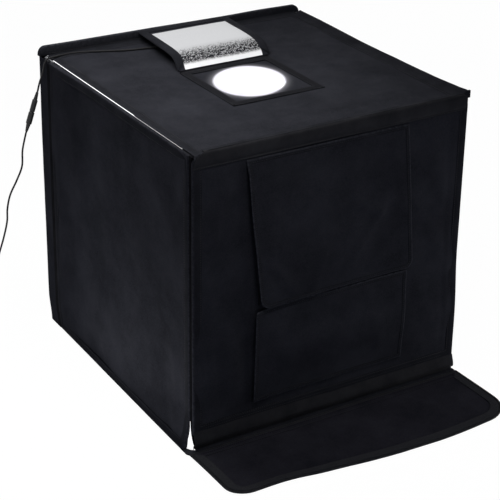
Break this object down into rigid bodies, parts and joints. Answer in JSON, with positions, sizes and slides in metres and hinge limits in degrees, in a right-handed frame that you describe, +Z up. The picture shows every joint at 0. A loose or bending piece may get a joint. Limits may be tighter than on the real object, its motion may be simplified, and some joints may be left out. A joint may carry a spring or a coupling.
{
  "type": "light tent cube",
  "caption": "Folding light tent cube of black fabric-covered boards with silver lining, round camera port with flap, front door with window flaps and inner light bars.",
  "frame": {"origin": "middle of the floor's underside", "axes": "+Z up, the front door faces -Y, +X to the right seen from the front"},
  "size_m": [0.7373, 0.8055, 0.5219],
  "materials": {
    "fabric_black": "woven black nylon",
    "binding_black": "black edge binding",
    "stiffener": "plain board",
    "silver_film": "metallised, pebbled",
    "loop_tape": "hook-and-loop tape",
    "white_sheet": "matt white",
    "channel": "satin",
    "diffuser": "opal",
    "rubber_black": "satin",
    "plastic_black": "satin"
  },
  "bodies": {
    "shell": {"floor_cover": "fabric_black", "floor_board": "stiffener", "floor_liner": "silver_film", "floor_apron": "fabric_black", "back_cover": "fabric_black", "back_liner": "silver_film", "back_board": "stiffener", "corner_board_left": "stiffener", "corner_board_right": "stiffener", "back_ridge": "binding_black", "top_binding": "binding_black", "top_cover": "fabric_black", "top_board": "stiffener", "top_liner": "silver_film", "port_tape": "loop_tape", "light_channel_left": "channel", "light_channel_right": "channel", "light_diffuser_left": "diffuser", "light_diffuser_right": "diffuser", "backdrop": "white_sheet", "lead_gland": "rubber_black", "lead_cord": "rubber_black", "lead_socket": "plastic_black", "supply_plug": "plastic_black", "supply_cord": "rubber_black", "supply_coil": "rubber_black", "wall_adapter": "plastic_black"},
    "left_wall": {"left_wall_binding": "binding_black", "left_wall_cover": "fabric_black", "left_wall_board": "stiffener", "left_wall_liner": "silver_film"},
    "right_wall": {"right_wall_binding": "binding_black", "right_wall_cover": "fabric_black", "right_wall_board": "stiffener", "right_wall_liner": "silver_film"},
    "door": {"door_binding": "binding_black", "door_cover": "fabric_black", "door_board": "stiffener", "door_liner": "silver_film", "door_header": "binding_black", "door_hem": "fabric_black", "upper_flap_tape": "loop_tape", "lower_flap_tape": "loop_tape"},
    "upper_flap": {"upper_flap_cover": "fabric_black", "upper_flap_binding": "binding_black"},
    "lower_flap": {"lower_flap_cover": "fabric_black", "lower_flap_binding": "binding_black"},
    "port_fold": {"port_fold_cover": "fabric_black", "port_fold_silver": "silver_film"},
    "port_flap": {"port_flap_cover": "fabric_black", "port_flap_silver": "silver_film", "port_flap_tape": "loop_tape"},
    "closure_flap": {"closure_flap_cover": "fabric_black", "closure_flap_binding": "binding_black", "closure_flap_band": "loop_tape"}
  },
  "joints": [
    {"name": "left_wall_swing", "type": "hinge", "parent": "shell", "child": "left_wall", "pos_m": [-0.254, 0.2187, 0.252], "axis": [0, 0, -1], "range_deg": [0, 90]},
    {"name": "right_wall_swing", "type": "hinge", "parent": "shell", "child": "right_wall", "pos_m": [0.254, 0.2187, 0.252], "axis": [0, 0, 1], "range_deg": [0, 90]},
    {"name": "door_lift", "type": "hinge", "parent": "shell", "child": "door", "pos_m": [0, -0.254, 0.508], "axis": [1, 0, 0], "range_deg": [-250, 0]},
    {"name": "upper_flap_lift", "type": "hinge", "parent": "door", "child": "upper_flap", "pos_m": [0, -0.2549, 0.4815], "axis": [-1, 0, 0], "range_deg": [0, 130]},
    {"name": "lower_flap_drop", "type": "hinge", "parent": "door", "child": "lower_flap", "pos_m": [0, -0.2549, 0.0595], "axis": [1, 0, 0], "range_deg": [0, 105]},
    {"name": "port_fold_turn", "type": "hinge", "parent": "shell", "child": "port_fold", "pos_m": [-0.008, 0.073, 0.50337], "axis": [-1, 0, 0], "range_deg": [-135, 0]},
    {"name": "port_flap_turn", "type": "hinge", "parent": "port_fold", "child": "port_flap", "pos_m": [-0.008, 0.09498, 0.51983], "axis": [-1, 0, 0], "range_deg": [-48, 0]},
    {"name": "closure_flap_fold", "type": "hinge", "parent": "shell", "child": "closure_flap", "pos_m": [0, -0.2623, 0.0034], "axis": [1, 0, 0], "range_deg": [-88, 0]}
  ],
  "couplings": [
    {"joint": "port_flap_turn", "follows": "port_fold_turn", "ratio": 0.3555}
  ]
}
